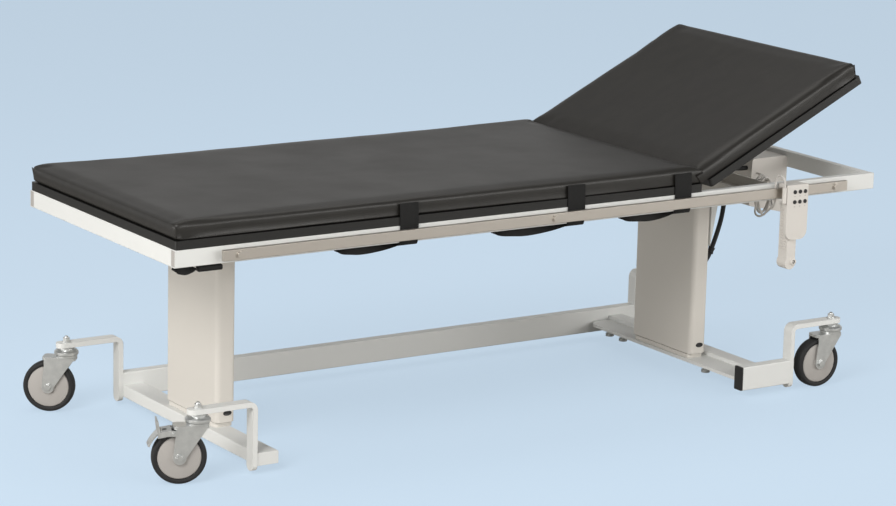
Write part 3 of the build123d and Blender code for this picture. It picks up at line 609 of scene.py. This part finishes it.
# ---------------------------------------------------------------- mattress
def pad_outline():
    """The mattress's cross-section as (y, height above the hinge), going round from the near bottom edge."""
    across = [-1 + 2 * i / ACROSS_STEPS for i in range(ACROSS_STEPS + 1)]
    low_inner = HALF_WIDTH - TUCK - LOW_CORNER_R
    top_inner = HALF_WIDTH - CORNER_R
    bottom = [(share * low_inner, PAD_BOTTOM) for share in across]
    edge = []
    for i in range(1, 5):
        angle = math.radians(-90 + 18 * i)
        height = PAD_BOTTOM + LOW_CORNER_R * (1 + math.sin(angle))
        edge.append((low_inner + LOW_CORNER_R * math.cos(angle), height))
    edge.append((HALF_WIDTH - TUCK, PAD_BOTTOM + LOW_CORNER_R))
    edge.append((HALF_WIDTH - TUCK / 3, PAD_MIDDLE))
    for i in range(5):
        angle = math.radians(18 * i)
        edge.append((top_inner + CORNER_R * math.cos(angle), PAD_TOP - CORNER_R + CORNER_R * math.sin(angle)))
    top = [(share * top_inner, PAD_TOP) for share in across[::-1]]
    return bottom + edge + top + [(-y, height) for y, height in edge[::-1]]


def fold_point(along, y, height):
    """A point of the mattress, along from the hinge. Its halves meet on the line that halves the fold."""
    lean = height * math.tan(FOLD / 2) * max(0.0, 1 - abs(along) / FOLD_REACH)
    if along <= 0:
        return Vector((HINGE.x + along - lean, y, HINGE.z + height))
    u = along - lean
    return Vector((
        HINGE.x + u * math.cos(FOLD) - height * math.sin(FOLD),
        y,
        HINGE.z + u * math.sin(FOLD) + height * math.cos(FOLD),
    ))


def even_steps(start, end):
    """Places between start and end, without them, in even steps of about USUAL_STEP."""
    steps = round((end - start) / USUAL_STEP)
    return [start + i * (end - start) / steps for i in range(1, steps)]


def stations():
    """Places along the mattress from the hinge, close together at its ends and at the fold."""
    foot, head = FOOT_END - HINGE.x, BACKREST_LENGTH
    last = END_PLACES[-1]
    places = [foot + place for place in END_PLACES]
    places += even_steps(foot + last, -FOLD_REACH)
    places += [-place for place in FOLD_PLACES[::-1]] + [0.0] + FOLD_PLACES
    places += even_steps(FOLD_REACH, head - last)
    return places + [head - place for place in END_PLACES[::-1]]


def make_mattress():
    """One cover over seat and backrest, with rounded ends, a tucked lower edge and a crease at the fold."""
    outline = pad_outline()
    places = stations()
    foot, head = places[0], places[-1]
    rings = []
    for along in places:
        from_end = min(along - foot, head - along)
        inward = 1 if along < 0 else -1
        inset = 0.0
        if from_end < CORNER_R:
            inset = CORNER_R - math.sqrt(max(0.0, CORNER_R**2 - (CORNER_R - from_end)**2))
        ring = []
        for y, height in outline:
            thinner = 1 - END_THINNING * inset / (PAD_TOP - PAD_MIDDLE)
            lower = PAD_MIDDLE + (height - PAD_MIDDLE) * thinner
            narrower = y * (1 - END_NARROWING * inset / HALF_WIDTH)
            low = (PAD_TOP - height) / (PAD_TOP - PAD_BOTTOM)
            tucked = along + inward * TUCK * low * max(0.0, 1 - from_end / TUCK_REACH)
            on_top = height > PAD_TOP - 0.004
            if on_top:
                lower -= CREASE_DEPTH * math.exp(-abs(along) / CREASE_REACH)
                edge = min(1.0, (HALF_WIDTH - abs(y)) / HOLLOW_EDGE)
                lower -= HOLLOW_DEPTH * edge * (1 - math.exp(-from_end / HOLLOW_END))
            ring.append(fold_point(tucked, narrower, lower))
        rings.append(ring)
    vertices, faces = join_rings(rings)
    return new_piece("mattress", vertices, faces, "mattress_vinyl"), len(outline), places


def settle(piece, held):
    """Swells the cover a little between the places where it is held, in a short cloth simulation."""
    scene = bpy.context.scene
    rest = [v.co.copy() for v in piece.data.vertices]
    group = piece.vertex_groups.new(name="held")
    group.add(held, 1.0, "REPLACE")
    cloth = piece.modifiers.new("cloth", "CLOTH")
    cloth.settings.quality = 5
    cloth.settings.mass = 0.4
    cloth.settings.tension_stiffness = 30
    cloth.settings.compression_stiffness = 30
    cloth.settings.shear_stiffness = 15
    cloth.settings.bending_stiffness = 4
    cloth.settings.use_pressure = True
    cloth.settings.uniform_pressure_force = 4
    cloth.settings.effector_weights.gravity = 0
    cloth.settings.vertex_group_mass = group.name
    cloth.point_cache.frame_start = 1
    cloth.point_cache.frame_end = SWELL_FRAMES
    for step in range(1, SWELL_FRAMES + 1):
        scene.frame_set(step)
    swollen = piece.evaluated_get(bpy.context.evaluated_depsgraph_get()).to_mesh()
    for vertex, before, after in zip(piece.data.vertices, rest, swollen.vertices):
        move = after.co - before
        if move.length > SWELL_LIMIT:
            move = move.normalized() * SWELL_LIMIT
        vertex.co = before + move
    piece.modifiers.remove(cloth)
    scene.frame_set(1)


def held_points(count, places):
    """The mattress's points that the cloth simulation holds: its underside, its ends and its fold."""
    held = []
    for i, along in enumerate(places):
        at_end = i in (0, len(places) - 1)
        at_fold = abs(along) < HELD_AT_FOLD
        for j in range(count):
            underside = j <= ACROSS_STEPS + 1
            if underside or at_end or at_fold:
                held.append(i * count + j)
    return held


def dress_mattress():
    """The swollen and slightly rippled cover, which replaces the CAD seat and backrest mattresses."""
    piece, count, places = make_mattress()
    settle(piece, held_points(count, places))
    for vertex in piece.data.vertices:
        ripple = noise.noise(vertex.co * 9.0) + 0.5 * noise.noise(vertex.co * 23.0)
        vertex.co.z += RIPPLE_HEIGHT * ripple
        vertex.co.y = max(-WIDEST_HALF, min(WIDEST_HALF, vertex.co.y))
    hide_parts("seat_mattress", "backrest_mattress")
    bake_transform(piece)


def round_board_edges():
    """The covered boards have fully rounded edges."""
    for name in ("seat_board", "backrest_board"):
        soften = frame["nodes"][name].modifiers.new("soft_edges", "BEVEL")
        soften.width = BOARD_EDGE_R
        soften.segments = 5
        soften.limit_method = "ANGLE"
        soften.angle_limit = math.radians(50)


def corner_seams():
    """A stitched seam down each corner of the mattress."""
    seam_height = PAD_TOP - PAD_BOTTOM - 2 * SEAM_SHORTER
    for body, end, inward in (("bed_frame", FOOT_END - HINGE.x, 1), ("backrest", BACKREST_LENGTH, -1)):
        whole = ([], [])
        for side in (-1, 1):
            points = []
            for i in range(SEAM_STEPS + 1):
                tuck = TUCK * (1 - i / SEAM_STEPS)
                along = end + inward * (SEAM_FROM_END + tuck)
                y = side * (HALF_WIDTH - SEAM_FROM_SIDE - tuck)
                height = PAD_BOTTOM + SEAM_SHORTER + seam_height * i / SEAM_STEPS
                points.append(fold_point(along, y, height))
            wide = Vector((SEAM_THICK / 2, 0, 0))
            add_part(whole, ribbon(points, [wide] * len(points), SEAM_THICK))
        new_piece(f"corner_seams_{body}", *whole, "mattress_vinyl", body)


# ---------------------------------------------------------------- straps
def make_straps():
    """Three straps on each side with a row of stitches, and the loose tails under the side tubes."""
    whole = ([], [])
    stitches = ([], [])
    for side in (-1, 1):
        for middle in STRAP_MIDDLES:
            points = smooth_path([Vector((middle, side * y * MM, z * MM)) for y, z in STRAP_PATH], 4)
            points = [p + Vector((0.0008 * math.sin(60 * p.z), 0, 0)) for p in points]
            add_part(whole, ribbon(points, [Vector((STRAP_WIDTH / 2, 0, 0))] * len(points), STRAP_THICK))
            for i in range(STITCHES):
                step = (STRAP_WIDTH - 2 * STITCH_MARGIN) / (STITCHES - 1)
                place = (middle - STRAP_WIDTH / 2 + STITCH_MARGIN + i * step, side * STITCH_Y, STITCH_Z)
                add_part(stitches, rounded_bar(place, (0.0015, 0.0003, 0.0004), 0.0001))
        for foot, low, head, depth in TAILS + ([CORNER_TAIL] if side < 0 else []):
            add_part(whole, tail(side, foot, low, head, depth))
    straps = new_piece("straps", *whole, "strap_webbing", "bed_frame", sharp=50)
    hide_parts("mattress_straps")
    new_piece("strap_stitches", *stitches, "strap_webbing", "bed_frame", sharp=50)
    make_strap_end()


def tail(side, foot, low, head, depth):
    """A loose tail under the side tube. It turns its face outwards at its lowest point, like a wedge."""
    half = TAIL_WIDTH / 2
    hang = max(LEAST_HANG, depth - half)
    foot_hang = max(LEAST_FOOT_HANG, depth - half)
    drops = [
        (foot, 0), ((foot + low) / 2, 0.35 * foot_hang), (low, hang),
        ((low + head) / 2, 0.6 * hang), (head, 0),
    ]
    anchors = [Vector((x, side * TAIL_Y, TAIL_TOP - drop)) for x, drop in drops]
    points = smooth_path(anchors, 6)
    across = []
    for i in range(len(points)):
        share = i / (len(points) - 1)
        twist = TAIL_TWIST * math.sin(math.pi * share ** 0.8)
        across.append(Vector((0, side * math.cos(twist), -math.sin(twist))) * half)
    return ribbon(points, across, 0.0018)


def make_strap_end():
    """The rolled-up end of a strap under the tube at the foot corner, with a squarish section."""
    rings = []
    for x, swell in ROLL_RINGS:
        ring = []
        for i in range(20):
            angle = math.tau * i / 20
            across = swell * math.copysign(abs(math.cos(angle)) ** 0.6, math.cos(angle))
            up = swell * math.copysign(abs(math.sin(angle)) ** 0.6, math.sin(angle))
            ring.append(Vector((x, -TAIL_Y + ROLL_HALF_WIDE * across, ROLL_Z + ROLL_HALF_HIGH * up)))
        rings.append(ring)
    new_piece("strap_roll", *join_rings(rings), "strap_webbing", "bed_frame", sharp=60)


# ---------------------------------------------------------------- castor wheels
def mirrored(half):
    """A turned profile with its other half; half runs from the outside to the middle."""
    return half + [(-along, radius) for along, radius in half[::-1]]


def make_wheels():
    """Each wheel is a rubber tyre on a flat grey disc with a hub."""
    tyre = mirrored([
        (-0.0112, TYRE_INNER_R), (-0.0136, 0.0508), (-0.0148, 0.0535), (-0.0150, 0.0570), (-0.0140, 0.0600),
        (-0.0108, 0.0617), (-0.0050, 0.0624), (-0.0010, WHEEL_R),
    ])
    disc = mirrored([
        (-0.0156, 0.0066), (-0.0156, 0.0130), (-0.0148, 0.0145), (-0.0136, 0.0160), (-0.0133, 0.0185),
        (-0.0133, 0.0470), (-0.0126, 0.0488), (-0.0115, 0.0498), (-0.0090, 0.0504),
    ])
    for name, heading in CASTOR_HEADING.items():
        low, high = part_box(f"castor_{name}_wheel")
        centre = (low + high) / 2 - SHIFT
        turn = math.radians(heading)
        axle = (-math.sin(turn), math.cos(turn), 0)
        body = f"wheel_{name}"
        tyre_mesh = turned(tyre, centre, axle, WHEEL_STEPS, ring=True)
        whole_tyre = new_piece(f"tyre_{name}", *tyre_mesh, "castor_rubber", body, sharp=50)
        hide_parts(f"castor_{name}_wheel")
        disc_mesh = turned(disc, centre, axle, WHEEL_STEPS)
        new_piece(f"wheel_disc_{name}", *disc_mesh, "grey_plastic", body, sharp=40)


# ---------------------------------------------------------------- small details
def oval_plate(centre, half_wide, half_high, thick, normal):
    """A slightly domed oval plug that stands on a face."""
    normal = Vector(normal)
    up = Vector((0, 0, 1))
    side = up.cross(normal).normalized()
    profile = [(-0.001, 1.0), (thick * 0.5, 1.0), (thick * 0.9, 0.93), (thick, 0.80), (thick * 0.6, 0.66)]
    rings = []
    for out, share in profile:
        ring = []
        for i in range(28):
            angle = math.tau * i / 28
            ring.append(Vector(centre) + normal * out + side * half_wide * share * math.cos(angle)
                        + up * half_high * share * math.sin(angle))
        rings.append(ring)
    return join_rings(rings)


def make_column_details():
    """Black plugs low on the near face of each column, and the collar on the head column's lead."""
    for name, place in PLUG_PLACES.items():
        plug = oval_plate(place, 0.011, 0.006, 0.0016, (0, -1, 0))
        new_piece(f"column_plug_{name}", *plug, "black_plastic", "base", sharp=50)
    profile = mirrored([(-0.009, 0.0066), (-0.0085, 0.0084), (-0.004, 0.0088), (-0.0035, 0.0078)])
    collar = turned(profile, COLLAR_PLACE, COLLAR_AXIS, 28)
    new_piece("lead_collar", *collar, "lead_black", "bed_frame", sharp=40)


def make_handset_details():
    """Ribs down the side of the grip, a boss with a hole at its end, and plain arrows beside the buttons."""
    ribs = ([], [])
    for i in range(RIB_COUNT):
        add_part(ribs, rounded_bar(LOWEST_RIB + Vector((0, 0, RIB_PITCH * i)), (0.0014, 0.0110, 0.0016)))
    new_piece("handset_ribs", *ribs, "handset_plastic", "handset", sharp=40)
    boss_profile = [
        (-0.002, 0.0085), (0.003, 0.0085), (0.0042, 0.0078),
        (0.0046, 0.0062), (0.0046, 0.0048), (0.0020, 0.0044),
    ]
    boss = turned(boss_profile, BOSS_PLACE, (0, -1, 0), 32)
    new_piece("handset_boss", *boss, "handset_plastic", "handset", sharp=40)
    hole_profile = [(0.0, 0.0042), (0.0024, 0.0044), (0.0026, 0.0036), (0.0018, 0.0020)]
    hole = turned(hole_profile, BOSS_PLACE, (0, -1, 0), 24)
    new_piece("handset_socket", *hole, "black_plastic", "handset", sharp=40)
    marks = ([], [])
    for x in MARK_X:
        for z, way in MARK_ROWS:
            add_part(marks, arrow(x, MARK_Y, z, way))
    new_piece("handset_marks", *marks, "grey_plastic", "handset", sharp=40)


def arrow(x, y, z, way):
    """A small printed triangle that points up or down, a hair above the plate."""
    outline = [(-0.0022, -0.0013 * way), (0.0022, -0.0013 * way), (0.0, 0.0017 * way)]
    rings = [[Vector((x + a, y - out, z + b)) for a, b in outline] for out in (-0.0002, 0.00015)]
    return join_rings(rings)


paint_cad()
dress_mattress()
corner_seams()
round_board_edges()
make_straps()
make_wheels()
make_column_details()
make_handset_details()
make_floor()
make_lights()
bpy.context.scene.view_settings.view_transform = "Standard"
